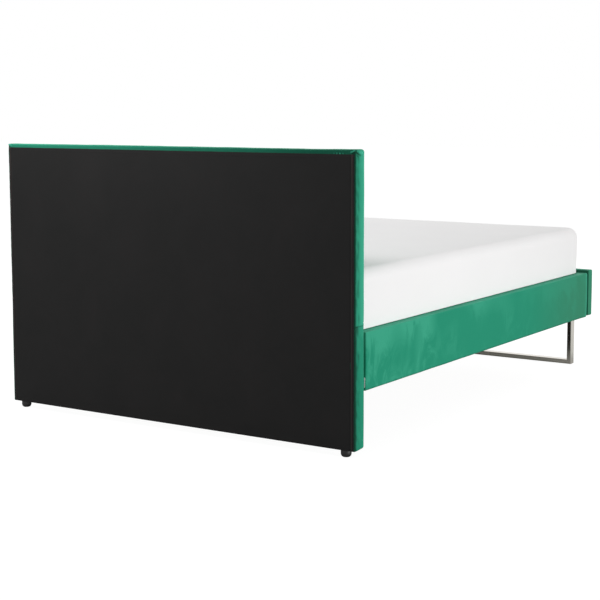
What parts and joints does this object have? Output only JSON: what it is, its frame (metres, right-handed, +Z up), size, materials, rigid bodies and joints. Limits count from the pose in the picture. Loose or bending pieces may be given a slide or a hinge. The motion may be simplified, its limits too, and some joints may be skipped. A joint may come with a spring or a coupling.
{
  "type": "upholstered bed",
  "caption": "Double bed with a tall padded velvet headboard, padded side rails and footboard, a steel sled leg, a slatted base and a foam mattress.",
  "frame": {"origin": "on the floor under the middle of the bed's bounding box", "axes": "+X across the bed, +Y along the bed towards the headboard, +Z up"},
  "size_m": [1.626, 2.1414, 1.06],
  "materials": {
    "velvet": "green velvet, short pile",
    "dust_cover": "black non-woven cloth",
    "timber": "planed softwood, unfinished",
    "slat_timber": "planed birch, unfinished",
    "plywood": "thin plywood, unfinished",
    "foam": "open-cell foam",
    "mattress_knit": "white knitted cover",
    "brushed_steel": "brushed",
    "zinc_steel": "zinc plated",
    "black_steel": "black powder coat",
    "black_plastic": "moulded, matt"
  },
  "bodies": {
    "bed_frame": {"headboard_cover": "velvet", "rail_cover_left": "velvet", "rail_cover_right": "velvet", "footboard_cover": "velvet", "headboard_dust_cover": "dust_cover", "headboard_stile_left": "timber", "headboard_stile_right": "timber", "headboard_top_rail": "timber", "headboard_middle_rail": "timber", "headboard_bottom_rail": "timber", "rail_board_left": "timber", "rail_board_right": "timber", "footboard_board": "timber", "slat_01": "slat_timber", "slat_02": "slat_timber", "slat_03": "slat_timber", "slat_04": "slat_timber", "slat_05": "slat_timber", "slat_06": "slat_timber", "slat_07": "slat_timber", "slat_08": "slat_timber", "slat_09": "slat_timber", "slat_10": "slat_timber", "slat_11": "slat_timber", "slat_12": "slat_timber", "headboard_panel": "plywood", "headboard_foam": "foam", "rail_foam_left": "foam", "rail_foam_right": "foam", "footboard_foam": "foam", "sled_floor_bar": "brushed_steel", "sled_upright_left": "brushed_steel", "sled_upright_right": "brushed_steel", "sled_plate_left": "brushed_steel", "sled_plate_right": "brushed_steel", "slat_ledge_left": "zinc_steel", "slat_ledge_right": "zinc_steel", "corner_bracket_head_left": "zinc_steel", "corner_bracket_head_right": "zinc_steel", "corner_bracket_foot_left": "zinc_steel", "corner_bracket_foot_right": "zinc_steel", "corner_bolt_head_left": "zinc_steel", "corner_bolt_head_right": "zinc_steel", "corner_bolt_foot_left": "zinc_steel", "corner_bolt_foot_right": "zinc_steel", "centre_beam": "black_steel", "beam_hanger_head": "black_steel", "beam_hanger_foot": "black_steel", "centre_leg": "black_steel", "glide_left": "black_plastic", "glide_right": "black_plastic", "slat_batten_left": "black_plastic", "slat_batten_right": "black_plastic"},
    "mattress": {"mattress_core": "foam", "mattress_cover": "mattress_knit", "mattress_base": "mattress_knit"},
    "levelling_foot_body": {"levelling_foot": "black_plastic"}
  },
  "joints": [
    {"name": "mattress_lift", "type": "slide", "parent": "bed_frame", "child": "mattress", "axis": [0, 0, 1], "range_m": [0, 0.7]},
    {"name": "foot_levelling", "type": "slide", "parent": "bed_frame", "child": "levelling_foot_body", "axis": [0, 0, 1], "range_m": [-0.01, 0.01]}
  ]
}
